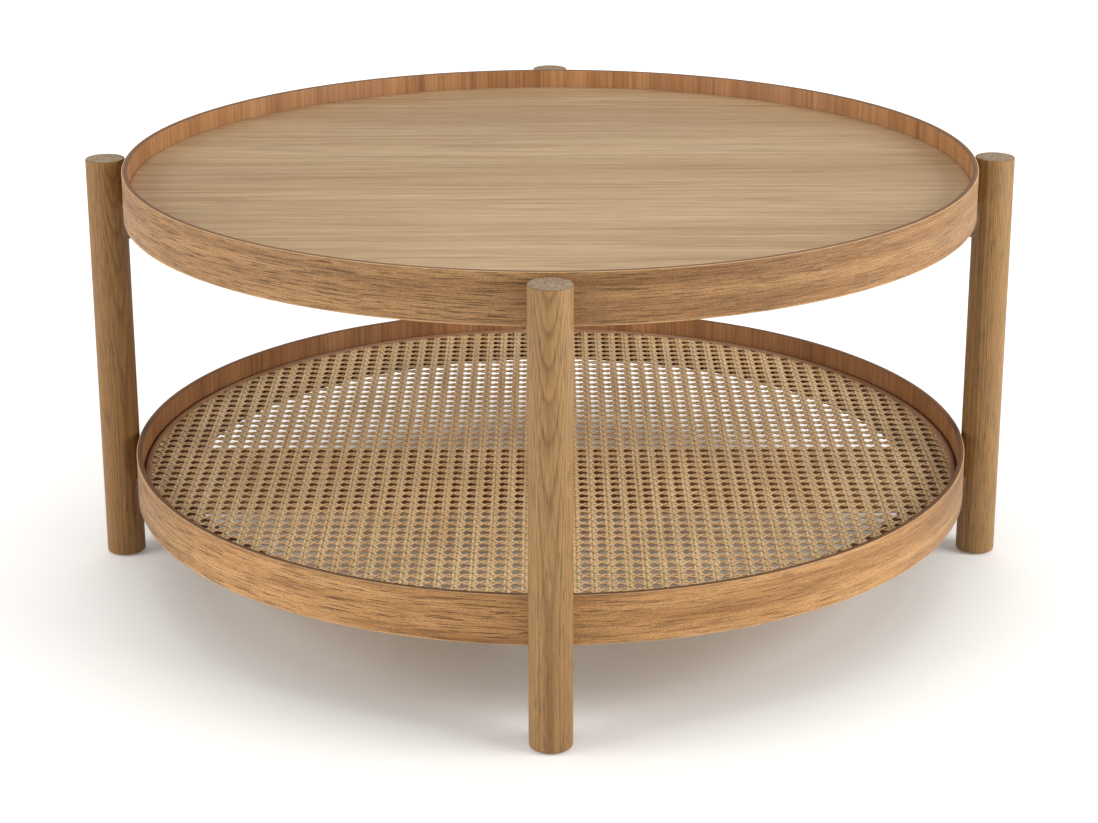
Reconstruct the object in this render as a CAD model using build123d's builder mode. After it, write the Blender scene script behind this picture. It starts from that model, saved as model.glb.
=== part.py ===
"""Round wicker coffee table: a tray top and a cane shelf between four round posts.

Two bent-plywood hoops stand one above the other. Each hoop is lined by a flat ring frame and
sits on a cross of two half-lapped rails. The rails run out under the hoop and end in a hollow
that fits the post, where a stud, plate washer and nut pull the post tight. The upper hoop holds
a veneered board, the lower one a panel of cane webbing held in a groove by a reed spline.

Origin: on the floor under the centre of the table. +Z up, front post on -Y, units millimetres.
"""
import os

from build123d import *

os.makedirs("parts", exist_ok=True)

# ---- driving dimensions -------------------------------------------------------------------
table_height = 400.0        # floor to the top of the posts

post_diameter = 37.0
post_ring_radius = 421.0    # table centre to post centre
post_top_round = 1.2
post_foot_round = 2.0

glide_diameter = 26.0
glide_thickness = 1.5       # the posts stand this far off the floor
glide_pin_diameter = 3.0
glide_pin_length = 14.0

hoop_radius = 400.0         # outside of both hoops
hoop_wall = 5.5
hoop_height = 45.0
hoop_edge_round = 0.9
top_hoop_base = 358.0       # height of the upper hoop's lower edge
shelf_hoop_base = 81.0      # height of the lower hoop's lower edge

board_thickness = 9.0
board_drop = 18.5           # board's face below the upper hoop's rim
board_gap = 0.4             # fitting gap around the board

ring_inner_radius = 357.0   # ring frames that line both hoops
ring_segments = 8           # each ring frame is glued up from this many arcs

cane_drop = 21.5            # cane's face below the lower hoop's rim
cane_thickness = 1.5
spline_inner_radius = 387.0
spline_width = 5.4
spline_proud = 1.6          # reed stands this far above the cane
spline_chamfer = 1.4
groove_depth = 6.0

rail_width = 25.0
top_rail_base = 324.0
shelf_rail_base = 43.0
shoulder_gap = 0.5          # between a rail's shoulder and the ring frame

stud_diameter = 6.0
stud_bore = 6.5             # clearance bore in the rail
stud_in_post = 27.0
pocket_length = 16.0        # nut pocket, open at the rail's underside
pocket_width = 16.0
pocket_headroom = 9.0       # above the stud's axis
pocket_outer_radius = 390.0
washer_size = 14.0
washer_thickness = 2.0
nut_flats = 10.0
nut_thickness = 5.0

screw_radius_on_ring = 365.5
screw_diameter = 4.0
screw_head_diameter = 8.0
screw_head_height = 2.6
screw_in_ring = 12.0
screw_counterbore = 9.0

# ---- worked out ---------------------------------------------------------------------------
hoop_inner_radius = hoop_radius - hoop_wall
board_face = top_hoop_base + hoop_height - board_drop
board_underside = board_face - board_thickness
cane_face = shelf_hoop_base + hoop_height - cane_drop
cane_underside = cane_face - cane_thickness
spline_outer_radius = spline_inner_radius + spline_width
groove_floor = cane_underside - groove_depth
post_length = table_height - glide_thickness
pocket_inner_radius = pocket_outer_radius - pocket_length
top_stud_height = (top_rail_base + top_hoop_base) / 2
shelf_stud_height = (shelf_rail_base + shelf_hoop_base) / 2
stud_tip_radius = pocket_outer_radius - washer_thickness - nut_thickness - 2.5
stud_root_radius = post_ring_radius - post_diameter / 2 + stud_in_post
post_side_angles = {"right": 0, "back": 90, "left": 180, "front": 270}
stud_heights = {"top": top_stud_height, "shelf": shelf_stud_height}


def save(part, name):
    """Label a finished piece and write its STEP file."""
    part.label = name
    export_step(part, f"parts/{name}.step")


def radial_plane(angle, radius, height):
    """Plane that faces outwards at this angle, radius and height; its x axis is tangential."""
    outward = Vector(1, 0, 0).rotate(Axis.Z, angle)
    tangent = Vector(0, 1, 0).rotate(Axis.Z, angle)
    centre = outward * radius + Vector(0, 0, height)
    return Plane(origin=centre, x_dir=tangent, z_dir=outward)


# ---- posts and their glides ---------------------------------------------------------------
def make_post(side, angle):
    centre = Vector(post_ring_radius, 0, 0).rotate(Axis.Z, angle)
    with BuildPart() as post:
        with BuildSketch(Plane.XY.offset(glide_thickness)):
            with Locations((centre.X, centre.Y)):
                Circle(post_diameter / 2)
        extrude(amount=post_length)
        fillet(post.edges().sort_by(Axis.Z)[-1], post_top_round)
        fillet(post.edges().sort_by(Axis.Z)[0], post_foot_round)
        # one blind bore per rail, drilled from the side that faces the table's centre
        for height in stud_heights.values():
            with BuildSketch(radial_plane(angle, stud_root_radius - stud_in_post - 1, height)):
                Circle(stud_diameter / 2)
            extrude(amount=stud_in_post + 1, mode=Mode.SUBTRACT)
        # pin hole for the glide
        with BuildSketch(Plane.XY.offset(glide_thickness)):
            with Locations((centre.X, centre.Y)):
                Circle(glide_pin_diameter / 2)
        extrude(amount=glide_pin_length, mode=Mode.SUBTRACT)
    save(post.part, f"post_{side}")


def make_glide(side, angle):
    centre = Vector(post_ring_radius, 0, 0).rotate(Axis.Z, angle)
    with BuildPart() as glide:
        with BuildSketch(Plane.XY):
            with Locations((centre.X, centre.Y)):
                Circle(glide_diameter / 2)
        extrude(amount=glide_thickness)
        chamfer(glide.edges().sort_by(Axis.Z)[0], glide_thickness / 3)
        with BuildSketch(Plane.XY.offset(glide_thickness)):
            with Locations((centre.X, centre.Y)):
                Circle(glide_pin_diameter / 2)
        extrude(amount=glide_pin_length)
    save(glide.part, f"foot_glide_{side}")


for side, angle in post_side_angles.items():
    make_post(side, angle)
    make_glide(side, angle)


# ---- hoops --------------------------------------------------------------------------------
def make_hoop(name, base):
    with BuildPart() as hoop:
        with BuildSketch(Plane.XY.offset(base)):
            Circle(hoop_radius)
            Circle(hoop_inner_radius, mode=Mode.SUBTRACT)
        extrude(amount=hoop_height)
        fillet(hoop.edges().group_by(Axis.Z)[-1], hoop_edge_round)
        fillet(hoop.edges().group_by(Axis.Z)[0], hoop_edge_round)
    save(hoop.part, name)


make_hoop("top_hoop", top_hoop_base)
make_hoop("shelf_hoop", shelf_hoop_base)


# ---- ring frames that line the hoops ------------------------------------------------------
def make_ring_frame(name, base, crown, has_groove):
    """Flat ring inside a hoop, glued up from arcs whose joints lie between the rails.

    Pilot holes take the ends of the rail screws, and a groove takes the reed.
    """
    with BuildPart() as ring:
        with BuildSketch(Plane.XY.offset(base)):
            Circle(hoop_inner_radius)
            Circle(ring_inner_radius, mode=Mode.SUBTRACT)
        extrude(amount=crown - base)
        if has_groove:
            with BuildSketch(Plane.XY.offset(crown - groove_depth)):
                Circle(spline_outer_radius)
                Circle(spline_inner_radius, mode=Mode.SUBTRACT)
            extrude(amount=groove_depth, mode=Mode.SUBTRACT)
        with BuildSketch(Plane.XY.offset(base)):
            with PolarLocations(screw_radius_on_ring, len(post_side_angles)):
                Circle(screw_diameter / 2)
        extrude(amount=screw_in_ring, mode=Mode.SUBTRACT)
        segment_angle = 360 / ring_segments
        for joint in range(ring_segments // 2):
            joint_angle = (joint + 0.5) * segment_angle
            split(bisect_by=Plane.XZ.rotated((0, 0, joint_angle)), keep=Keep.BOTH)
    save(ring.part, name)


make_ring_frame("top_ring_frame", top_hoop_base, board_underside, has_groove=False)
make_ring_frame("shelf_ring_frame", shelf_hoop_base, cane_underside, has_groove=True)

# ---- top board ----------------------------------------------------------------------------
with BuildPart() as top_board:
    with BuildSketch(Plane.XY.offset(board_underside)):
        Circle(hoop_inner_radius - board_gap)
    extrude(amount=board_thickness)
save(top_board.part, "top_board")

# ---- cane panel and the reed that holds it ------------------------------------------------
with BuildPart() as cane_panel:
    with BuildSketch(Plane.XY.offset(cane_underside)):
        Circle(spline_inner_radius)
    extrude(amount=cane_thickness)
save(cane_panel.part, "cane_panel")

with BuildPart() as cane_spline:
    with BuildSketch(Plane.XY.offset(groove_floor)):
        Circle(spline_outer_radius)
        Circle(spline_inner_radius, mode=Mode.SUBTRACT)
    extrude(amount=cane_face + spline_proud - groove_floor)
    chamfer(cane_spline.edges().group_by(Axis.Z)[-1], spline_chamfer)
save(cane_spline.part, "cane_spline")


# ---- cross rails --------------------------------------------------------------------------
def make_rail(name, direction, base, hoop_base, crown, stud_height, keeps_top_half):
    """One rail of a cross. It is full height inside the ring frame, and drops to a shoulder
    that passes under the ring frame and the hoop.
    """
    along = Plane.XY.rotated((0, 0, direction))
    shoulder_radius = ring_inner_radius - shoulder_gap
    lap_height = (base + crown) / 2
    with BuildPart() as rail:
        with BuildSketch(along.offset(base)):
            Rectangle(2 * post_ring_radius, rail_width)
        extrude(amount=hoop_base - base)
        with BuildSketch(along.offset(hoop_base)):
            Rectangle(2 * shoulder_radius, rail_width)
        extrude(amount=crown - hoop_base)
        # half-lap at the crossing
        lap_start = base if keeps_top_half else lap_height
        with BuildSketch(along.offset(lap_start)):
            Rectangle(rail_width, rail_width)
        extrude(amount=(crown - base) / 2, mode=Mode.SUBTRACT)
        # both ends hollowed to fit the posts
        with BuildSketch(along.offset(base)):
            with Locations((-post_ring_radius, 0), (post_ring_radius, 0)):
                Circle(post_diameter / 2)
        extrude(amount=hoop_base - base, mode=Mode.SUBTRACT)
        # nut pockets, open below
        pocket_middle = (pocket_inner_radius + pocket_outer_radius) / 2
        with BuildSketch(along.offset(base)):
            with Locations((-pocket_middle, 0), (pocket_middle, 0)):
                Rectangle(pocket_length, pocket_width)
        extrude(amount=stud_height + pocket_headroom - base, mode=Mode.SUBTRACT)
        # stud bores and screw holes at both ends
        for end_angle in (direction, direction + 180):
            with BuildSketch(radial_plane(end_angle, pocket_outer_radius - 1, stud_height)):
                Circle(stud_bore / 2)
            extrude(amount=post_ring_radius - pocket_outer_radius, mode=Mode.SUBTRACT)
        with BuildSketch(along.offset(base)):
            with Locations((-screw_radius_on_ring, 0), (screw_radius_on_ring, 0)):
                Circle(screw_diameter / 2)
        extrude(amount=hoop_base - base, mode=Mode.SUBTRACT)
        with BuildSketch(along.offset(base)):
            with Locations((-screw_radius_on_ring, 0), (screw_radius_on_ring, 0)):
                Circle(screw_head_diameter / 2)
        extrude(amount=screw_counterbore, mode=Mode.SUBTRACT)
    save(rail.part, name)


top_levels = (top_rail_base, top_hoop_base, board_underside, top_stud_height)
shelf_levels = (shelf_rail_base, shelf_hoop_base, cane_underside, shelf_stud_height)
for level_name, levels in (("top", top_levels), ("shelf", shelf_levels)):
    make_rail(f"{level_name}_rail_left_right", 0, *levels, keeps_top_half=False)
    make_rail(f"{level_name}_rail_front_back", 90, *levels, keeps_top_half=True)


# ---- hardware -----------------------------------------------------------------------------
def make_studs(name, height):
    """Four plain studs that run from the posts into the nut pockets."""
    with BuildPart() as studs:
        for angle in post_side_angles.values():
            with BuildSketch(radial_plane(angle, stud_tip_radius, height)):
                Circle(stud_diameter / 2)
            extrude(amount=stud_root_radius - stud_tip_radius)
    save(studs.part, name)


def make_plate_washers(name, height):
    """Four square plate washers, flat against the outer walls of the nut pockets."""
    with BuildPart() as washers:
        for angle in post_side_angles.values():
            with BuildSketch(radial_plane(angle, pocket_outer_radius, height)):
                Rectangle(washer_size, washer_size)
                Circle(stud_bore / 2, mode=Mode.SUBTRACT)
            extrude(amount=-washer_thickness)
    save(washers.part, name)


def make_nuts(name, height):
    """Four hexagon nuts, tight on the plate washers."""
    with BuildPart() as nuts:
        for angle in post_side_angles.values():
            seat = pocket_outer_radius - washer_thickness
            with BuildSketch(radial_plane(angle, seat, height)):
                RegularPolygon(nut_flats / 2, 6, major_radius=False)
                Circle(stud_diameter / 2, mode=Mode.SUBTRACT)
            extrude(amount=-nut_thickness)
    save(nuts.part, name)


def make_rail_screws(name, hoop_base, rail_base):
    """Four countersunk screws, up through the rail ends into the ring frame."""
    head_seat = rail_base + screw_counterbore
    tip = hoop_base + screw_in_ring
    with BuildPart() as screws:
        with BuildSketch(Plane.XY.offset(head_seat)):
            with PolarLocations(screw_radius_on_ring, len(post_side_angles)):
                Circle(screw_diameter / 2)
        extrude(amount=tip - head_seat)
        with BuildSketch(Plane.XY.offset(head_seat)):
            with PolarLocations(screw_radius_on_ring, len(post_side_angles)):
                Circle(screw_head_diameter / 2 - 0.2)
        extrude(amount=-screw_head_height)
    save(screws.part, name)


for level_name, height in stud_heights.items():
    make_studs(f"{level_name}_post_studs", height)
    make_plate_washers(f"{level_name}_plate_washers", height)
    make_nuts(f"{level_name}_stud_nuts", height)
make_rail_screws("top_rail_screws", top_hoop_base, top_rail_base)
make_rail_screws("shelf_rail_screws", shelf_hoop_base, shelf_rail_base)
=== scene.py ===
# %% [markdown]
# # A round coffee table with a cane shelf
#
# The table is two trays between four round posts. The upper tray has a veneered board, the
# lower one a panel of cane webbing. Both are rimmed with a hoop of bent plywood and carried
# by a cross of rails. The CAD model is loaded first and stays as it is: every piece made here
# takes its place and size from it. Lengths are in metres.

import math
import random

import bmesh
import bpy
from mathutils import Matrix, Vector


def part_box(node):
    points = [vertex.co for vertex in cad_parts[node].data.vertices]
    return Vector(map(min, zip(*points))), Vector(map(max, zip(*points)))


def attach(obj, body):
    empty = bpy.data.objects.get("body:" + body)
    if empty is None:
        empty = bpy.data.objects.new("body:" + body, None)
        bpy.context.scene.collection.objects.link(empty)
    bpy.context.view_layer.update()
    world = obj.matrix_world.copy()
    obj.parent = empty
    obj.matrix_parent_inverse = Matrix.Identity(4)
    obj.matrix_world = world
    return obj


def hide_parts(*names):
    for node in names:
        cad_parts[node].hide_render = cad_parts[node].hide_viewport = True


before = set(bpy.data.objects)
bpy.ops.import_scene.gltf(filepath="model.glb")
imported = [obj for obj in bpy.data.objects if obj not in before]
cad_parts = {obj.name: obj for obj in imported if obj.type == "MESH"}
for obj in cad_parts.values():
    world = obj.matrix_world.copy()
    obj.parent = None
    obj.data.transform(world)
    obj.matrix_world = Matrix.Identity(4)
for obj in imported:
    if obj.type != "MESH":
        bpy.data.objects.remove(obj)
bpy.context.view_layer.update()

# %% [markdown]
# ## Camera
#
# A long lens from a little above the rim keeps the circles calm. The lens is shifted slightly
# instead of tilting the camera further, so the posts stay nearly parallel.

# %% Camera
LENS = 80.1                 # millimetres, on a sensor 36 mm wide
LENS_SHIFT = -0.091         # share of the picture's width
LOOK_DOWN = math.radians(17.15)
LEAN = math.radians(0.10)   # the camera leans by a hair

camera_data = bpy.data.cameras.new("camera")
camera_data.sensor_width = 36.0
camera_data.lens = LENS
camera_data.shift_y = LENS_SHIFT
camera = bpy.data.objects.new("camera", camera_data)
camera.location = (0.0, -2.2507, 0.9417)
camera.rotation_euler = (math.radians(90) - LOOK_DOWN, LEAN, 0.0)
bpy.context.collection.objects.link(camera)
bpy.context.scene.camera = camera
print("camera at", tuple(camera.location), "lens", camera_data.lens)

# %% [markdown]
# ## Light and floor
#
# The table stands in a plain white studio. Two large soft lights, low at the left and right,
# shape the posts and reach in under the tray to the cane. A third one hangs above the board
# and a little behind it, and a white world fills the shadows.

# %% Light and floor
TABLE_MIDDLE = (0.0, 0.0, 0.25)
SOFTBOXES = (               # name, width in metres, power in watts, place
    ("right_softbox", 1.8, 68.0, (2.6, -1.05, 1.25)),
    ("left_softbox", 1.8, 47.0, (-2.6, -1.05, 1.15)),
    ("top_softbox", 2.6, 33.0, (0.0, 0.6, 3.0)),
)
WORLD_STRENGTH = 0.39
FLOOR_REACH = 30.0          # from the middle to an edge


def soft_light(name, size, power, place):
    """A square area light that points at the table."""
    data = bpy.data.lights.new(name, "AREA")
    data.size = size
    data.energy = power
    light = bpy.data.objects.new(name, data)
    light.location = place
    aim = Vector(TABLE_MIDDLE) - Vector(place)
    light.rotation_euler = aim.to_track_quat("-Z", "Y").to_euler()
    bpy.context.collection.objects.link(light)


for softbox in SOFTBOXES:
    soft_light(*softbox)

world = bpy.data.worlds.new("studio")
world.use_nodes = True
background = world.node_tree.nodes["Background"]
background.inputs["Color"].default_value = (1.0, 1.0, 1.0, 1.0)
background.inputs["Strength"].default_value = WORLD_STRENGTH
bpy.context.scene.world = world
bpy.context.scene.view_settings.view_transform = "Standard"

floor_mesh = bmesh.new()
bmesh.ops.create_grid(floor_mesh, x_segments=1, y_segments=1, size=FLOOR_REACH)
floor_data = bpy.data.meshes.new("floor")
floor_mesh.to_mesh(floor_data)
floor_mesh.free()
floor = bpy.data.objects.new("floor", floor_data)
bpy.context.collection.objects.link(floor)

# %% [markdown] ## A small kit for materials  Every finish here is wood or cane, and they all
# need the same few moves: stretch a noise along the grain, turn it into tones with a ramp,
# mix, and press the pores in with bump. All patterns read Object coordinates, which for every
# piece are the table's own. Only the cane reads a UV map as well.


# %% Material kit
MIX_COLOUR_A, MIX_COLOUR_B, MIX_COLOUR_RESULT = 6, 7, 2  # a Mix node's colour sockets
COAT_ROUGHNESS = 0.35       # a thin matt lacquer
SPECULAR_LEVEL = 0.35
BUMP_STRENGTH = 0.8


class Finish:
    """One node material, built up step by step."""

    def __init__(self, name):
        self.material = bpy.data.materials.new(name)
        self.material.use_nodes = True
        self.tree = self.material.node_tree
        self.shader = self.tree.nodes["Principled BSDF"]
        self.place = self.tree.nodes.new("ShaderNodeTexCoord").outputs["Object"]

    def node(self, kind, **settings):
        """A new node with those settings."""
        made = self.tree.nodes.new(kind)
        for key, value in settings.items():
            setattr(made, key, value)
        return made

    def feed(self, socket, value):
        """Links an output to the socket, or sets the socket's own value."""
        if isinstance(value, bpy.types.NodeSocket):
            self.tree.links.new(value, socket)
        elif isinstance(value, tuple) and len(value) == 3 and socket.type == "RGBA":
            socket.default_value = (*value, 1.0)
        else:
            socket.default_value = value

    def stretched(self, scale, offset=(0.0, 0.0, 0.0), turn=(0.0, 0.0, 0.0), source=None):
        """Object coordinates, moved, turned and scaled: a low scale draws the pattern out."""
        mapping = self.node("ShaderNodeMapping")
        self.feed(mapping.inputs["Vector"], source or self.place)
        mapping.inputs["Location"].default_value = offset
        mapping.inputs["Rotation"].default_value = turn
        mapping.inputs["Scale"].default_value = scale
        return mapping.outputs["Vector"]

    def noise(self, vector, scale=1.0, detail=3.0, roughness=0.55, distortion=0.0):
        """A cloudy value, mostly between 0.3 and 0.7."""
        noise = self.node("ShaderNodeTexNoise")
        self.feed(noise.inputs["Vector"], vector)
        for key, value in (("Scale", scale), ("Detail", detail), ("Roughness", roughness)):
            noise.inputs[key].default_value = value
        noise.inputs["Distortion"].default_value = distortion
        return noise.outputs["Fac"]

    def math(self, operation, first, second=0.0, third=0.0):
        """A Math node of any operation. Inputs are outputs of other nodes, or numbers."""
        math_node = self.node("ShaderNodeMath", operation=operation)
        for socket, value in zip(math_node.inputs, (first, second, third)):
            self.feed(socket, value)
        return math_node.outputs["Value"]

    def split(self, vector=None):
        """The X, Y and Z of a vector, or of the object's own coordinates."""
        parts = self.node("ShaderNodeSeparateXYZ")
        self.feed(parts.inputs["Vector"], vector or self.place)
        return parts.outputs["X"], parts.outputs["Y"], parts.outputs["Z"]

    def length(self, first, second):
        """The length of a flat vector."""
        return self.math("SQRT", self.math("ADD", self.math("MULTIPLY", first, first),
                                           self.math("MULTIPLY", second, second)))

    def ramp(self, value, *stops):
        """Tones or greys from stops of (position, colour or grey)."""
        ramp = self.node("ShaderNodeValToRGB")
        self.feed(ramp.inputs["Fac"], value)
        elements = ramp.color_ramp.elements
        while len(elements) < len(stops):
            elements.new(1.0)
        for element, (position, tone) in zip(elements, stops):
            element.position = position
            rgb = tone if isinstance(tone, tuple) else (tone, tone, tone)
            element.color = (*rgb, 1.0)
        return ramp.outputs["Color"]

    def mix(self, amount, first, second, blend="MIX"):
        """Lays the second colour on the first by an amount from 0 to 1."""
        mix = self.node("ShaderNodeMix", data_type="RGBA", blend_type=blend)
        self.feed(mix.inputs["Factor"], amount)
        self.feed(mix.inputs[MIX_COLOUR_A], first)
        self.feed(mix.inputs[MIX_COLOUR_B], second)
        return mix.outputs[MIX_COLOUR_RESULT]

    def tint(self, colour, by):
        """The colour times another colour."""
        return self.mix(1.0, colour, by, "MULTIPLY")

    def shade(self, colour, value, *stops):
        """The colour times a ramp of the value, so a pattern makes it darker or lighter."""
        return self.tint(colour, self.ramp(value, *stops))

    def stain_or_highlight(self, colour, mask, amount, other):
        """Lays another colour on where the mask is bright, by up to the amount."""
        return self.mix(self.math("MULTIPLY", mask, amount), colour, other)

    def surface(self, colour, roughness, height=None, depth=0.0003, coat=0.0):
        """Feeds the shader, with bump if there is a height, and returns the material."""
        self.feed(self.shader.inputs["Base Color"], colour)
        self.feed(self.shader.inputs["Roughness"], roughness)
        self.shader.inputs["Coat Weight"].default_value = coat
        self.shader.inputs["Coat Roughness"].default_value = COAT_ROUGHNESS
        self.shader.inputs["Specular IOR Level"].default_value = SPECULAR_LEVEL
        if height is not None:
            bump = self.node("ShaderNodeBump")
            bump.inputs["Distance"].default_value = depth
            bump.inputs["Strength"].default_value = BUMP_STRENGTH
            self.feed(bump.inputs["Height"], height)
            self.feed(self.shader.inputs["Normal"], bump.outputs["Normal"])
        return self.material


def srgb(red, green, blue):
    """A screen colour from 0 to 255 as the linear numbers that shaders use."""
    def linear(value):
        value = value / 255
        return value / 12.92 if value <= 0.04045 else ((value + 0.055) / 1.055) ** 2.4
    return tuple(round(linear(v), 4) for v in (red, green, blue))


print("kit:", [name for name in vars(Finish) if not name.startswith("_")])

# %% [markdown]
# ## The floor's finish
#
# The floor is a matt warm white. It also has a painted glow, light of its own with no lamp in
# it: none under the table, and more and more further out. So it runs into the white behind it
# with no edge, and the table keeps a soft shadow to stand on, partly cast and partly painted by
# the missing glow. The glow follows the distance from the middle of the floor.

# %% Floor finish
GLOW_REACH = 4.0            # the distance at which the ramp ends
GLOW = ((0.085, 0.0), (0.115, 0.20), (0.17, 0.34), (0.60, 0.64))    # (share of it, strength)

floor_finish = Finish("floor_white")
floor_x, floor_y, _ = floor_finish.split()
far = floor_finish.math("DIVIDE", floor_finish.length(floor_x, floor_y), GLOW_REACH)
# painted glow: the floor emits light by its distance from the middle
floor_finish.shader.inputs["Emission Color"].default_value = (1.0, 1.0, 1.0, 1.0)
floor_finish.feed(floor_finish.shader.inputs["Emission Strength"],
                  floor_finish.ramp(far, *GLOW))
floor.data.materials.append(floor_finish.surface((0.93, 0.91, 0.88), 0.9))
print("floor glow:", GLOW)

# %% [markdown]
# ## Making a piece
#
# A finished mesh becomes an object at the origin, smooth on its round faces and sharp at its
# edges. It rides on the table's body, and the CAD nodes that it stands for are hidden.


# %% Piece helpers
SHARP_ABOVE = math.radians(35)
SAME_PLACE = 1e-6           # corners closer than this are joined


def make_piece(name, mesh, material, slot, *nodes):
    """Makes a bmesh a piece on the table's body, in place of those CAD nodes."""
    data = bpy.data.meshes.new(name)
    mesh.to_mesh(data)
    mesh.free()
    data.shade_smooth()
    data.set_sharp_from_angle(angle=SHARP_ABOVE)
    data.materials.append(material)
    piece = bpy.data.objects.new(name, data)
    bpy.context.collection.objects.link(piece)
    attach(piece, "root")
    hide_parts(*nodes)
    print(f"{name}: {sum(len(p.vertices) - 2 for p in data.polygons)} triangles")


def round_corners(mesh, corners, radius, segments):
    """Rounds those corners of a profile."""
    bmesh.ops.bevel(mesh, geom=corners, offset=radius, offset_type="OFFSET",
                    segments=segments, profile=0.5, affect="VERTICES", material=-1)


def ring_profile(mesh, inner, outer, low, high, round_radius, segments):
    """A rounded rectangle of edges in the XZ plane, ready to spin about Z."""
    corners = [mesh.verts.new((x, 0.0, z)) for x, z in
               ((inner, low), (outer, low), (outer, high), (inner, high))]
    mesh.faces.new(corners)
    round_corners(mesh, corners, round_radius, segments)
    bmesh.ops.delete(mesh, geom=list(mesh.faces), context="FACES_ONLY")


def solid_profile(mesh, x, y, radius, low, high, top_round, foot_round, segments):
    """The top, side and foot of a solid round piece as edges, ready to spin about its axis."""
    corners = [mesh.verts.new((x + out, y, z)) for out, z in
               ((0.0, high), (radius, high), (radius, low), (0.0, low))]
    for pair in zip(corners, corners[1:]):
        mesh.edges.new(pair)
    round_corners(mesh, corners[1:2], top_round, segments)
    round_corners(mesh, corners[2:3], foot_round, segments)


def spin_full(mesh, steps, centre=(0.0, 0.0, 0.0)):
    """Spins every edge of the mesh once round a vertical axis and closes the ring."""
    bmesh.ops.spin(mesh, geom=list(mesh.verts) + list(mesh.edges), cent=centre,
                   axis=(0.0, 0.0, 1.0), angle=math.tau, steps=steps, use_merge=True)
    bmesh.ops.remove_doubles(mesh, verts=mesh.verts, dist=SAME_PLACE)
    bmesh.ops.recalc_face_normals(mesh, faces=mesh.faces)


print("sharp above", round(math.degrees(SHARP_ABOVE)), "degrees")

# %% [markdown]
# ## The board
#
# The tray's floor is a board with a pale straight-grained veneer, laid in leaves from left to
# right. A real veneer shows a broad drift of tone, the year rings that the slice meets at a
# shallow angle, drawn-out lines, and fine dark pores. The rings are worked out as distance
# from the tree's middle, and the rest are noises stretched along X, each at its own scale. The
# board itself is a disc: a profile spun about the table's axis, with the edge just eased.

# %% Board finish
LEAF = 0.21                 # width of a leaf of veneer
BOARD_RING = 0.0075         # one year's growth
PITH_BELOW = 0.050          # the tree's middle lies this far under the leaf,
PITH_SLOPE = -0.035         # comes nearer along X by this share
PITH_STEP = 0.013           # and differs by up to this from leaf to leaf
RING_WAVER = 0.012


def board_finish():
    """Pale veneer in leaves, with the grain along X."""
    finish = Finish("board_veneer")
    drift = finish.noise(finish.stretched((1.2, 8.0, 1.0), offset=(0.3, 0.1, 0.0)), detail=2.0)
    tone = finish.ramp(drift, (0.30, srgb(181, 150, 112)), (0.70, srgb(199, 171, 133)))

    # year rings: the leaf is a slice that the rings meet at a shallow angle
    x, y, _ = finish.split()
    leaf = finish.math("FLOOR", finish.math("DIVIDE", y, LEAF))
    within = finish.math("SUBTRACT", y, finish.math("MULTIPLY_ADD", leaf, LEAF, LEAF / 2))
    below = finish.math("MULTIPLY_ADD", x, PITH_SLOPE, PITH_BELOW)
    own = finish.math("FRACT", finish.math("MULTIPLY", leaf, 0.37))
    below = finish.math("MULTIPLY_ADD", own, PITH_STEP, below)
    waver = finish.noise(finish.stretched((2.2, 26.0, 1.0)), detail=3.0)
    radius = finish.math("MULTIPLY_ADD", waver, RING_WAVER, finish.length(within, below))
    ring = finish.math("FRACT", finish.math("DIVIDE", radius, BOARD_RING))
    tone = finish.shade(tone, ring, (0.0, 1.0), (0.60, 0.97), (0.90, 0.85), (1.0, 0.99))

    # drawn-out lines, finer streaks, and pores
    lines = finish.noise(finish.stretched((3.2, 125.0, 1.0), turn=(0.0, 0.0, 0.012)),
                         detail=5.0, roughness=0.65, distortion=0.3)
    streaks = finish.noise(finish.stretched((11.0, 560.0, 1.0)), detail=3.0, roughness=0.7)
    pores = finish.noise(finish.stretched((36.0, 620.0, 1.0)), detail=2.0, roughness=0.5)
    tone = finish.shade(tone, lines, (0.38, (0.84, 0.77, 0.68)), (0.50, 0.98), (0.62, 1.05))
    tone = finish.shade(tone, streaks, (0.30, (0.78, 0.72, 0.65)), (0.62, 1.07))
    pore_mask = finish.ramp(pores, (0.60, 0.0), (0.70, 1.0))
    tone = finish.stain_or_highlight(tone, pore_mask, 0.35, srgb(124, 92, 60))
    roughness = finish.math("MULTIPLY_ADD", streaks, 0.12, 0.42)
    height = finish.math("SUBTRACT", streaks, finish.math("MULTIPLY", pore_mask, 0.6))
    return finish.surface(tone, roughness, height, depth=0.00012, coat=0.08)


print("leaves of veneer", LEAF, "wide")

# %% Board
ROUND_STEPS = 288           # steps of a full turn on the large round pieces
BOARD_EASE = 0.0006
board_low, board_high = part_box("top_board")

mesh = bmesh.new()
solid_profile(mesh, 0.0, 0.0, board_high.x, board_low.z, board_high.z, BOARD_EASE, BOARD_EASE,
              segments=2)
spin_full(mesh, ROUND_STEPS)
make_piece("board", mesh, board_finish(), "board_veneer", "top_board")

# %% [markdown]
# ## The hoops
#
# Each hoop is a strip of plywood bent to a circle. Its three kinds of face look quite
# different. Outside, the grain runs round the hoop, coarse and open. Inside, it runs up and
# down and is redder. The edges show the plies as thin rings. One material tells the three
# apart by the distance from the table's axis and by height, so nothing has to be painted by
# hand. Stretching a noise along X and Y alike draws it out round the hoop, with no seam. The
# two hoops were stained apart: each has its own tint outside. Each also has painted shade that
# darkens its outside towards the left and right, and a painted highlight along its lower corner.

# %% Hoop finish
_, ring_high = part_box("shelf_ring_frame")
hoop_low, hoop_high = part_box("top_hoop")
shelf_hoop_low, shelf_hoop_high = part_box("shelf_hoop")
HOOP_INNER = ring_high.x    # the ring frame fills the hoop
HOOP_OUTER = hoop_high.x
HOOP_EASE = 0.0009
PLY_SHARE = 0.45            # the share of an eased corner that shows the plies
HIGHLIGHT_SHARE = 1.5            # how far up the painted highlight on the lower corner reaches, in the same unit


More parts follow.
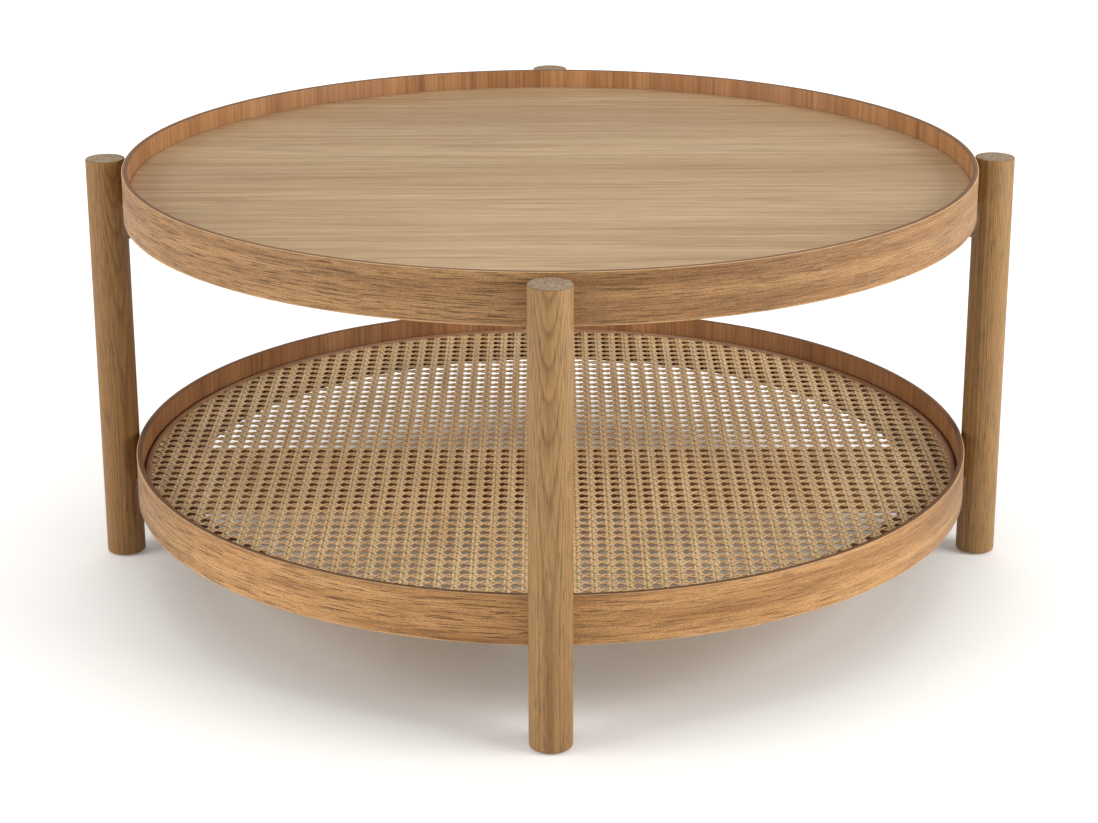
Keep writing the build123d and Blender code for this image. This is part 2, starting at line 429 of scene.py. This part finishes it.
def hoop_finish(name, low, high, tint, painted_side_shade):
    """Plywood for a hoop between two heights, with the outside tinted and, at the left and
    right,
    multiplied by the last argument: a painted shade that darkens the hoop's sides."""
    finish = Finish(name)
    x, y, z = finish.split()
    radius = finish.length(x, y)
    wall = HOOP_OUTER - HOOP_INNER
    depth = finish.math("DIVIDE", finish.math("SUBTRACT", radius, HOOP_INNER), wall)

    # outside: long grain with short dark pores and a sandy tooth
    figure = finish.noise(finish.stretched((2.6, 2.6, 60.0)), detail=4.0, distortion=0.4)
    streaks = finish.noise(finish.stretched((26.0, 26.0, 900.0)), detail=4.0, roughness=0.7)
    pores = finish.noise(finish.stretched((32.0, 32.0, 1500.0)), detail=2.0, roughness=0.5)
    tooth = finish.noise(finish.stretched((520.0, 520.0, 1200.0)), detail=2.0)
    outside = finish.ramp(figure, (0.34, srgb(138, 98, 58)), (0.50, srgb(162, 122, 80)),
                          (0.66, srgb(176, 137, 94)))
    outside = finish.shade(outside, streaks, (0.34, 0.74), (0.58, 1.08))
    outside = finish.shade(outside, tooth, (0.35, 0.76), (0.62, 1.14))
    # the strip's grain closes up towards one end
    openness = finish.ramp(finish.math("ADD", x, 0.5), (0.45, 0.78), (0.80, 0.22))
    pore_mask = finish.ramp(pores, (0.585, 0.0), (0.63, 1.0))
    outside = finish.stain_or_highlight(outside, pore_mask, openness, srgb(70, 42, 20))
    outside = finish.tint(outside, tint)
    # painted shade: the outside grows darker towards the left and right, where less light
    # reaches the hoop
    sideways = finish.math("ABSOLUTE", x)
    outside = finish.shade(outside, sideways, (0.28, 1.0), (0.40, painted_side_shade))

    # inside: redder, with cross grain and thin darker lines
    bands = finish.noise(finish.stretched((34.0, 34.0, 3.0)), detail=4.0, roughness=0.6)
    fibres = finish.noise(finish.stretched((430.0, 430.0, 9.0)), detail=2.0, roughness=0.6)
    veins = finish.noise(finish.stretched((75.0, 75.0, 1.2), offset=(3.0, 1.0, 0.0)))
    inside = finish.ramp(bands, (0.34, srgb(160, 109, 66)), (0.52, srgb(178, 127, 81)),
                         (0.70, srgb(190, 140, 93)))
    inside = finish.shade(inside, fibres, (0.32, 0.76), (0.60, 1.06))
    inside = finish.shade(inside, veins, (0.47, 1.0), (0.50, 0.76), (0.53, 1.0))
    # and a few small knots
    spots = finish.node("ShaderNodeTexVoronoi")
    finish.feed(spots.inputs["Vector"], finish.stretched((14.0, 14.0, 10.0)))
    knot = finish.ramp(spots.outputs["Distance"], (0.030, 0.7), (0.055, 0.0))
    inside = finish.mix(knot, inside, srgb(70, 40, 24))

    # edges: pale outer plies, dark glue lines between
    plies = finish.ramp(depth, (0.0, srgb(146, 104, 66)), (0.12, srgb(84, 54, 31)),
                        (0.22, srgb(150, 108, 70)), (0.44, srgb(82, 53, 31)),
                        (0.54, srgb(162, 120, 81)), (0.74, srgb(80, 50, 28)),
                        (0.83, srgb(202, 162, 118)))
    plies = finish.shade(plies, fibres, (0.30, 0.80), (0.65, 1.05))

    is_outside = finish.math("GREATER_THAN", depth, 0.5)
    colour = finish.mix(is_outside, inside, outside)
    above = finish.math("GREATER_THAN", z, high - HOOP_EASE * PLY_SHARE)
    below = finish.math("LESS_THAN", z, low + HOOP_EASE * PLY_SHARE)
    is_edge = finish.math("MAXIMUM", above, below)
    colour = finish.mix(is_edge, colour, plies)
    # painted highlight: the outside is paler along its lower corner, where the eased edge
    # catches the light
    lower_highlight = finish.math("LESS_THAN", z, low + HOOP_EASE * HIGHLIGHT_SHARE)
    lower_highlight = finish.math("MULTIPLY", lower_highlight, is_outside)
    colour = finish.stain_or_highlight(colour, lower_highlight, 0.5, srgb(206, 166, 120))

    grain = finish.math("SUBTRACT", streaks, finish.math("MULTIPLY", pore_mask, 1.2))
    height = finish.math("ADD", finish.math("MULTIPLY", is_outside, grain), fibres)
    roughness = finish.math("MULTIPLY_ADD", streaks, 0.15, 0.48)
    return finish.surface(colour, roughness, height, depth=0.0003)


print("hoop wall:", round(HOOP_OUTER - HOOP_INNER, 4))

# %% Hoops
# each hoop's tint, and the painted shade that darkens its outside at the left and right
TRAY_HOOP_TINT, TRAY_HOOP_SIDE_SHADE = (0.93, 0.88, 0.77), 0.95
SHELF_HOOP_TINT, SHELF_HOOP_SIDE_SHADE = (1.29, 1.22, 1.05), 0.60


def hoop_piece(name, node, low, high, tint, painted_side_shade):
    """A hoop of plywood from one height to another, eased at its corners."""
    mesh = bmesh.new()
    ring_profile(mesh, HOOP_INNER, HOOP_OUTER, low, high, HOOP_EASE, segments=3)
    spin_full(mesh, ROUND_STEPS)
    finish = hoop_finish(f"{name}_plywood", low, high, tint, painted_side_shade)
    make_piece(name, mesh, finish, "hoop_plywood", node)


hoop_piece("tray_hoop", "top_hoop", hoop_low.z, hoop_high.z,
           TRAY_HOOP_TINT, TRAY_HOOP_SIDE_SHADE)
hoop_piece("shelf_rim_hoop", "shelf_hoop", shelf_hoop_low.z, shelf_hoop_high.z,
           SHELF_HOOP_TINT, SHELF_HOOP_SIDE_SHADE)

# %% [markdown]
# ## The posts
#
# A turned post is cut from a plank, so its surface slices through the tree's year rings. Where
# the rings run nearly level with the surface they make long pointed arches. That comes free
# when the pattern is solid: rings of distance from the tree's pith, which stands beside the
# post, with noise added. Trees taper, so the rings can close in on the pith above some height,
# and that closes the arches at the top. Every post gets its own place in the tree and its own
# tint. The ends show the same rings cut across, greyer because end grain drinks more lacquer.

# %% Post finish
YEAR_RING = 0.0014          # one year's growth
POST_BOW = 0.003            # how far the rings drift along the post
POST_WAVER = 0.0008         # and how much they waver


def post_finish(name, pith, bend, bend_from, seed, tint):
    """Solid wood whose rings lie round the pith at -pith, and close in on it above bend_from."""
    finish = Finish(name)
    tree = finish.stretched((1.0, 1.0, 1.0), offset=pith)
    bow = finish.noise(finish.stretched((1.0, 1.0, 3.2), offset=(seed, 0.0, seed)), detail=0.0)
    waver = finish.noise(finish.stretched((45.0, 45.0, 9.0), offset=(0.0, seed, seed)),
                         detail=2.0)
    x, y, z = finish.split(tree)
    radius = finish.length(x, y)
    above = finish.math("MAXIMUM", finish.math("SUBTRACT", z, bend_from), 0.0)
    bent = finish.math("MULTIPLY", finish.math("MULTIPLY", above, above), bend)
    radius = finish.math("ADD", radius, bent)
    radius = finish.math("MULTIPLY_ADD", bow, POST_BOW, radius)
    radius = finish.math("MULTIPLY_ADD", waver, POST_WAVER, radius)
    ring = finish.math("FRACT", finish.math("DIVIDE", radius, YEAR_RING))
    ring_tone = finish.ramp(ring, (0.0, srgb(166, 131, 87)), (0.50, srgb(160, 124, 81)),
                            (0.84, srgb(126, 90, 52)), (1.0, srgb(164, 128, 84)))
    drift = finish.noise(finish.stretched((30.0, 30.0, 2.0), offset=(0.0, seed, 0.0)),
                         detail=3.0)
    drift_tone = finish.ramp(drift, (0.32, srgb(142, 106, 66)), (0.66, srgb(168, 134, 92)))
    streaks = finish.noise(finish.stretched((760.0, 760.0, 30.0)), detail=4.0, roughness=0.7)
    pores = finish.noise(finish.stretched((1050.0, 1050.0, 60.0)), detail=1.0)
    colour = finish.mix(0.65, drift_tone, ring_tone)
    colour = finish.shade(colour, streaks, (0.34, 0.76), (0.57, 1.09))
    pore_mask = finish.ramp(pores, (0.58, 0.0), (0.66, 1.0))
    colour = finish.stain_or_highlight(colour, pore_mask, 0.4, srgb(80, 50, 24))
    colour = finish.tint(colour, tint)

    # end grain, chosen by the way the face points
    facing = finish.split(finish.node("ShaderNodeNewGeometry").outputs["Normal"])
    upright = finish.math("ABSOLUTE", facing[2])
    is_end = finish.ramp(upright, (0.70, 0.0), (0.90, 1.0))
    specks = finish.noise(finish.stretched((420.0, 700.0, 1.0)), detail=3.0, roughness=0.7)
    end_tone = finish.mix(0.25, finish.ramp(specks, (0.37, srgb(84, 66, 48)),
                                            (0.50, srgb(154, 134, 110)),
                                            (0.64, srgb(184, 166, 142))), ring_tone)
    colour = finish.mix(is_end, colour, end_tone)
    # and the eased corner is darker
    corner = finish.ramp(upright, (0.20, 0.0), (0.50, 0.60), (0.80, 0.0))
    colour = finish.mix(corner, colour, srgb(96, 70, 44))
    height = finish.math("SUBTRACT", streaks, pore_mask)
    roughness = finish.math("MULTIPLY_ADD", streaks, 0.15, 0.46)
    return finish.surface(colour, roughness, height, depth=0.0002)


print("year rings of", YEAR_RING)

# %% Posts
POST_STEPS = 64
POST_TOP_ROUND = 0.0012
POST_FOOT_ROUND = 0.0020
POST_WOOD = {               # side: minus the pith's place, bend, where it starts, seed, tint
    "front": ((-0.003, 0.3795, 0.0), 0.110, 0.13, 1.3, (0.94, 0.90, 0.78)),
    "right": ((-0.340, 0.110, 0.0), 0.0, 0.0, 4.1, (0.92, 0.88, 0.74)),
    "back": ((0.004, -0.3790, 0.0), 0.050, 0.10, 7.7, (0.92, 0.88, 0.76)),
    # the left post's darker tint is partly its own wood tone and partly painted shade over the
    # whole post
    "left": ((0.4495, -0.0470, 0.0), 0.100, 0.12, 9.2, (0.77, 0.67, 0.48)),
}


def post_piece(side, pith, bend, bend_from, seed, tint):
    """A round post in the CAD post's box."""
    low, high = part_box(f"post_{side}")
    centre = (low + high) / 2
    radius = (high.x - low.x) / 2
    mesh = bmesh.new()
    solid_profile(mesh, centre.x, centre.y, radius, low.z, high.z, POST_TOP_ROUND,
                  POST_FOOT_ROUND, segments=3)
    spin_full(mesh, POST_STEPS, centre=(centre.x, centre.y, 0.0))
    finish = post_finish(f"post_wood_{side}", pith, bend, bend_from, seed, tint)
    make_piece(f"turned_post_{side}", mesh, finish, "post_wood", f"post_{side}")


for side, wood in POST_WOOD.items():
    post_piece(side, *wood)

# %% [markdown]
# ## The reed
#
# The cane is held in a groove by a reed: a soft round-topped strip that is wetted, pressed in
# with glue and left a little proud. It is one rounded profile, spun.

# %% Reed
def reed_finish():
    """Pinkish reed, its fibres drawn out round the ring."""
    finish = Finish("reed")
    drift = finish.noise(finish.stretched((9.0, 9.0, 9.0)), detail=3.0)
    fibres = finish.noise(finish.stretched((60.0, 60.0, 1500.0)), detail=3.0, roughness=0.6)
    colour = finish.ramp(drift, (0.35, srgb(160, 120, 88)), (0.65, srgb(182, 142, 110)))
    colour = finish.shade(colour, fibres, (0.32, 0.84), (0.62, 1.05))
    roughness = finish.math("MULTIPLY_ADD", fibres, 0.2, 0.38)
    return finish.surface(colour, roughness, fibres, depth=0.0001)


REED_WIDTH = 0.0054
REED_ROUND = 0.0016
reed_low, reed_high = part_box("cane_spline")

mesh = bmesh.new()
ring_profile(mesh, reed_high.x - REED_WIDTH, reed_high.x, reed_low.z, reed_high.z,
             REED_ROUND, segments=4)
spin_full(mesh, ROUND_STEPS)
make_piece("reed_in_groove", mesh, reed_finish(), "reed_spline", "cane_spline")

# %% [markdown]
# ## The cane
#
# Cane webbing in the six-way pattern has pairs of warps, pairs of wefts and two diagonals,
# woven in six steps. Warps and wefts go over and under each other one by one where the pairs
# cross. The diagonals cut the corners of the squares, which makes the holes eight-sided: one
# runs under the warps and over the wefts, the other the opposite way. A picture of cane on a
# disc would be quick, but the holes would have no thickness, so every strand is made.
#
# A strand starts as a grid, two faces wide. Its rows are moved to the stations where the
# strand changes level, and solidify gives it its thickness. Four stations are enough for each
# hole that it passes, which keeps each of the six steps under 120,000 triangles.

# %% Cane sizes
PITCH = 0.015               # from hole to hole
PAIR = 0.00172              # half the distance between the two strands of a pair
STRAND = 0.00130            # half the width of a strand
THICK = 0.0005              # and its thickness
CROWN = 0.00010             # the shiny side is a little rounded
OVER = 0.00027              # how far a strand steps up or down at a plain crossing
LAYER = 0.0005              # and a diagonal, which passes a pair that lies between
panel_low, panel_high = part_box("cane_panel")
HELD = 0.0010               # the ends reach this far under the reed
CANE_RADIUS = panel_high.x + HELD
CANE_MIDDLE = (panel_low.z + panel_high.z) / 2
DRIFT = 0.00014             # a strand lies up to this far off its line
NARROWEST, WIDEST = 0.93, 1.05          # of the usual width
wander = random.Random(21)
print("cane radius:", round(CANE_RADIUS, 4), "middle height:", round(CANE_MIDDLE, 5))


# %% Strand helpers
def add_strand(mesh, offset, stations, turn):
    """A woven strand along Y at x = offset, turned about Z. stations: (place, level)."""
    reach = math.sqrt(CANE_RADIUS ** 2 - offset ** 2)
    path = [(-reach, 0.0)] + [s for s in stations if abs(s[0]) < reach - STRAND]
    path.append((reach, 0.0))
    steps = len(path) - 1
    made = bmesh.ops.create_grid(mesh, x_segments=2, y_segments=steps, size=0.5,
                                 calc_uvs=True)["verts"]
    middle = offset + wander.uniform(-DRIFT, DRIFT)
    half = STRAND * wander.uniform(NARROWEST, WIDEST)
    for vertex in made:
        side = 2 * vertex.co.x
        along, level = path[round((vertex.co.y + 0.5) * steps)]
        vertex.co = (middle + half * side, along,
                     CANE_MIDDLE + THICK / 2 + level - CROWN * side * side)
    bmesh.ops.rotate(mesh, verts=made, cent=(0, 0, 0), matrix=Matrix.Rotation(turn, 3, "Z"))


def cane_mesh():
    """An empty mesh whose UV map will run 0 to 1 across each strand."""
    mesh = bmesh.new()
    mesh.loops.layers.uv.new("strand")
    return mesh


def cane_piece(name, mesh, finish):
    """Gives the strands their thickness, downwards, and makes the piece."""
    bmesh.ops.recalc_face_normals(mesh, faces=mesh.faces)
    for face in mesh.faces:
        if face.normal.z < 0:
            face.normal_flip()
    bmesh.ops.solidify(mesh, geom=list(mesh.faces), thickness=THICK)
    make_piece(name, mesh, finish, "cane_webbing", "cane_panel")


print("strands", round(2 * STRAND, 5), "wide,", THICK, "thick")

# %% Cane finish
def cane_finish(name, turn, tone):
    """Split cane along a direction turned about Z, satin on its outer side."""
    finish = Finish(name)
    strands = finish.noise(finish.stretched((330.0, 7.0, 1.0), turn=(0.0, 0.0, turn)),
                           detail=2.0)
    patches = finish.noise(finish.stretched((14.0, 14.0, 14.0)), detail=3.0)
    fibres = finish.noise(finish.stretched((2600.0, 70.0, 1.0), turn=(0.0, 0.0, turn)),
                          detail=2.0)
    colour = finish.ramp(strands, (0.30, srgb(220, 186, 138)), (0.50, srgb(247, 224, 184)),
                         (0.70, srgb(255, 243, 216)))
    colour = finish.shade(colour, patches, (0.30, 0.90), (0.62, 1.05))
    colour = finish.shade(colour, fibres, (0.30, 0.88), (0.60, 1.05))
    colour = finish.tint(colour, tone)
    # painted shade: each strand is darker towards its edges, where a rounded strand turns away
    # from the light
    across = finish.node("ShaderNodeUVMap", uv_map="strand").outputs["UV"]
    from_middle = finish.math("ABSOLUTE", finish.math("SUBTRACT", finish.split(across)[0], 0.5))
    colour = finish.shade(colour, from_middle, (0.34, 1.0), (0.50, srgb(176, 142, 102)))
    roughness = finish.math("MULTIPLY_ADD", fibres, 0.25, 0.30)
    return finish.surface(colour, roughness, fibres, depth=0.00006)


WARP_TONE = (1.0, 0.96, 0.85)
WEFT_TONE = (1.0, 0.94, 0.82)
DIAGONAL_TONE = (0.97, 0.90, 0.77)
print("tones of cane:", WARP_TONE, WEFT_TONE, DIAGONAL_TONE)

# %% Warps and wefts
HOLES = int(CANE_RADIUS / PITCH) + 1    # rows of holes on each side of the middle
CROSSINGS = [(row + 0.5) * PITCH for row in range(-HOLES, HOLES)]
NEAR = 0.0039               # a strand is level again this far from a crossing's middle
QUARTER_TURN = math.radians(90)


def plain_stations(first_step):
    """Places and levels of a strand that crosses pair after pair."""
    return [(crossing + shift, level) for crossing in CROSSINGS for shift, level in
            ((-NEAR, 0.0), (-PAIR, first_step), (PAIR, -first_step), (NEAR, 0.0))]


def plain_piece(name, shift, first_step, turn, tone):
    """One strand of every pair that runs one way."""
    mesh = cane_mesh()
    for line in CROSSINGS:
        if abs(line) < CANE_RADIUS - PITCH / 2:
            add_strand(mesh, line + shift, plain_stations(first_step), turn)
    cane_piece(name, mesh, cane_finish(f"{name}_cane", -turn, tone))


plain_piece("cane_first_warp", -PAIR, -OVER, 0.0, WARP_TONE)
plain_piece("cane_first_weft", -PAIR, -OVER, QUARTER_TURN, WEFT_TONE)
plain_piece("cane_second_warp", PAIR, OVER, 0.0, WARP_TONE)
plain_piece("cane_second_weft", PAIR, OVER, QUARTER_TURN, WEFT_TONE)

# %% Diagonals
DIAGONAL_GAP = PITCH / math.sqrt(2)     # from one diagonal to the next
FLAT = 0.0040               # a diagonal stays level this far each side of a pair
EIGHTH_TURN = math.radians(45)


def diagonal_piece(name, turn):
    """All the strands of one diagonal, which lie under one pair and over the next."""
    mesh = cane_mesh()
    rows = int(CANE_RADIUS / DIAGONAL_GAP) + 1
    for row in range(-rows, rows):
        offset = (row + 0.5) * DIAGONAL_GAP
        if abs(offset) > CANE_RADIUS - DIAGONAL_GAP / 2:
            continue
        stations = []
        for crossing in range(-rows, rows):
            place = (crossing + 0.5) * DIAGONAL_GAP
            level = LAYER if (crossing + row) % 2 else -LAYER
            stations += [(place - FLAT, level), (place + FLAT, level)]
        add_strand(mesh, offset, stations, turn)
    cane_piece(name, mesh, cane_finish(f"{name}_cane", -turn, DIAGONAL_TONE))


diagonal_piece("cane_first_diagonal", EIGHTH_TURN)
diagonal_piece("cane_second_diagonal", -EIGHTH_TURN)

# %% [markdown]
# ## The frame wood
#
# The rails and the ring frames keep their CAD shapes. Two modifiers finish them: Weld joins
# the loose triangles, and Bevel eases the sharp edges as sandpaper would. A ring frame is
# glued up of eight arcs, and the grain of each runs along its own chord, so the material
# turns its coordinates to the arc that it is on.

# %% Frame wood finish
ARCS = 8                    # glued to make a ring frame
ARC_SHIFT = 3.7             # puts every arc in another part of the pattern
GLUE_LINE = 0.0016          # its width as a share of an arc


def plank_colour(finish, along, seed):
    """Tones, fibres and pores of a plank whose length is the X of along."""
    figure = finish.noise(finish.stretched((2.5, 40.0, 40.0), offset=(seed, 0.0, 0.0),
                                           source=along), detail=4.0, distortion=0.3)
    fibres = finish.noise(finish.stretched((14.0, 520.0, 520.0), source=along), detail=3.0,
                          roughness=0.65)
    pores = finish.noise(finish.stretched((60.0, 1100.0, 1100.0), source=along), detail=2.0)
    colour = finish.ramp(figure, (0.33, srgb(98, 68, 40)), (0.52, srgb(118, 84, 52)),
                         (0.68, srgb(134, 100, 66)))
    colour = finish.shade(colour, fibres, (0.32, 0.80), (0.60, 1.05))
    pore_mask = finish.ramp(pores, (0.56, 0.0), (0.67, 1.0))
    colour = finish.stain_or_highlight(colour, pore_mask, 0.45, srgb(98, 62, 34))
    height = finish.math("SUBTRACT", fibres, pore_mask)
    return colour, fibres, height


def rail_finish(name, turn, seed):
    """Wood for a rail whose length is X, or Y after a quarter turn."""
    finish = Finish(name)
    along = finish.stretched((1.0, 1.0, 1.0), turn=(0.0, 0.0, turn))
    colour, fibres, height = plank_colour(finish, along, seed)
    roughness = finish.math("MULTIPLY_ADD", fibres, 0.15, 0.50)
    return finish.surface(colour, roughness, height, depth=0.0002)


def arc_finish(name, seed):
    """Wood for a ring of glued arcs, each with its grain along its chord."""
    finish = Finish(name)
    x, y, z = finish.split()
    step = math.tau / ARCS
    angle = finish.math("ARCTAN2", y, x)
    arc = finish.math("ROUND", finish.math("DIVIDE", angle, step))
    middle = finish.math("MULTIPLY", arc, step)
    cosine, sine = finish.math("COSINE", middle), finish.math("SINE", middle)
    out = finish.math("ADD", finish.math("MULTIPLY", x, cosine),
                      finish.math("MULTIPLY", y, sine))
    chord = finish.math("SUBTRACT", finish.math("MULTIPLY", y, cosine),
                        finish.math("MULTIPLY", x, sine))
    chord = finish.math("ADD", chord, finish.math("MULTIPLY", arc, ARC_SHIFT))
    joined = finish.node("ShaderNodeCombineXYZ")
    for socket, value in zip(joined.inputs, (chord, out, z)):
        finish.feed(socket, value)
    colour, fibres, height = plank_colour(finish, joined.outputs["Vector"], seed)
    arc_tone = finish.noise(joined.outputs["Vector"], scale=0.9, detail=0.0)
    colour = finish.shade(colour, arc_tone, (0.3, 0.68), (0.7, 0.84))
    # the glue lines between the arcs
    across = finish.math("SUBTRACT", finish.math("DIVIDE", angle, step), arc)
    to_joint = finish.math("SUBTRACT", 0.5, finish.math("ABSOLUTE", across))
    joint = finish.ramp(to_joint, (0.0, 1.0), (GLUE_LINE, 0.0))
    colour = finish.stain_or_highlight(colour, joint, 0.6, srgb(92, 60, 34))
    roughness = finish.math("MULTIPLY_ADD", fibres, 0.15, 0.52)
    return finish.surface(colour, roughness, height, depth=0.0002)


print("glued arcs in a ring frame:", ARCS)

# %% Finish the rails and ring frames
RAIL_EASE = 0.0008
RING_EASE = 0.0006
EASE_ABOVE = math.radians(40)


def dress(node, material, ease, segments=2):
    """Gives a CAD node its material and eases its edges."""
    piece = bpy.data.objects[node]
    piece.data.materials.clear()
    piece.data.materials.append(material)
    weld = piece.modifiers.new("weld", "WELD")
    weld.merge_threshold = SAME_PLACE
    bevel = piece.modifiers.new("eased_edges", "BEVEL")
    bevel.width = ease
    bevel.segments = segments
    bevel.limit_method = "ANGLE"
    bevel.angle_limit = EASE_ABOVE
    print("dressed", node)


for level, seed in (("top", 3.0), ("shelf", 8.0)):
    rail_along_x = rail_finish(f"{level}_rail_x", 0.0, seed)
    rail_along_y = rail_finish(f"{level}_rail_y", QUARTER_TURN, seed + 2)
    ring_arcs = arc_finish(f"{level}_ring_arcs", seed + 4)
    dress(f"{level}_rail_left_right", rail_along_x, RAIL_EASE)
    dress(f"{level}_rail_front_back", rail_along_y, RAIL_EASE)
    dress(f"{level}_ring_frame", ring_arcs, RING_EASE)

# %% [markdown]
# ## Steel and plastic
#
# The studs, washers, nuts and screws are zinc plated: grey with a faint mottle and a slightly
# uneven gloss. The glides under the posts are hard plastic, scuffed by the floor.

# %% Steel and plastic
STEEL_EASE = 0.0003
GLIDE_EASE = 0.0004


def zinc_finish():
    """Grey zinc plate with a faint mottle."""
    finish = Finish("zinc_plated_steel")
    mottle = finish.noise(finish.place, scale=420.0, detail=4.0)
    scratches = finish.noise(finish.stretched((300.0, 2400.0, 900.0)), detail=2.0)
    colour = finish.ramp(mottle, (0.30, srgb(150, 152, 156)), (0.70, srgb(196, 198, 200)))
    roughness = finish.math("MULTIPLY_ADD", mottle, 0.30, 0.22)
    finish.shader.inputs["Metallic"].default_value = 1.0
    return finish.surface(colour, roughness, scratches, depth=0.00003)


def glide_finish():
    """Brown plastic, dulled by scuffs."""
    finish = Finish("glide_plastic")
    cloud = finish.noise(finish.place, scale=160.0, detail=3.0)
    scuffs = finish.noise(finish.stretched((2200.0, 300.0, 300.0)), detail=3.0, roughness=0.7)
    colour = finish.ramp(cloud, (0.30, srgb(96, 74, 54)), (0.70, srgb(118, 94, 72)))
    colour = finish.shade(colour, scuffs, (0.35, 0.9), (0.68, 1.12))
    roughness = finish.math("MULTIPLY_ADD", scuffs, 0.3, 0.35)
    return finish.surface(colour, roughness, scuffs, depth=0.00005)


zinc = zinc_finish()
for level in ("top", "shelf"):
    for hardware in ("post_studs", "plate_washers", "stud_nuts", "rail_screws"):
        dress(f"{level}_{hardware}", zinc, STEEL_EASE, segments=1)
glide_plastic = glide_finish()
for side in POST_WOOD:
    dress(f"foot_glide_{side}", glide_plastic, GLIDE_EASE)
